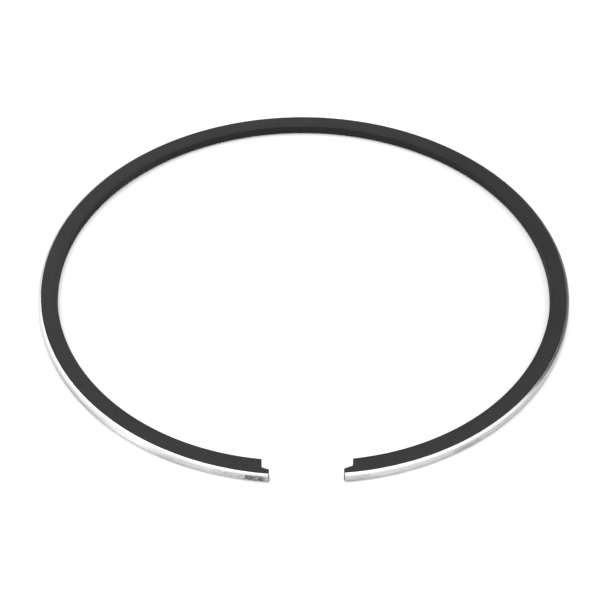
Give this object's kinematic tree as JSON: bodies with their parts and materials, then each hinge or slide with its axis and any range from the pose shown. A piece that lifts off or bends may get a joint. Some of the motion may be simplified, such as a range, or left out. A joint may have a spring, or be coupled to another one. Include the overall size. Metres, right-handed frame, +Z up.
{
  "type": "piston ring",
  "caption": "Flat metal piston ring, sprung open at a gap whose ends are notched on the bore side, with a bright rounded running face and dark coated sides.",
  "frame": {"origin": "on the surface that the ring lies on, under the middle of its outline", "axes": "+Z up out of the upper side face, -Y towards the gap, +X to the right seen from the gap"},
  "size_m": [0.061, 0.0594, 0.0012],
  "materials": {
    "phosphate_coat": "dark matte phosphate coat on the side faces and the bore",
    "lapped_face": "bright lapped running face with fine marks round the ring"
  },
  "bodies": {
    "root": {"piston_ring": "phosphate_coat"}
  },
  "joints": []
}
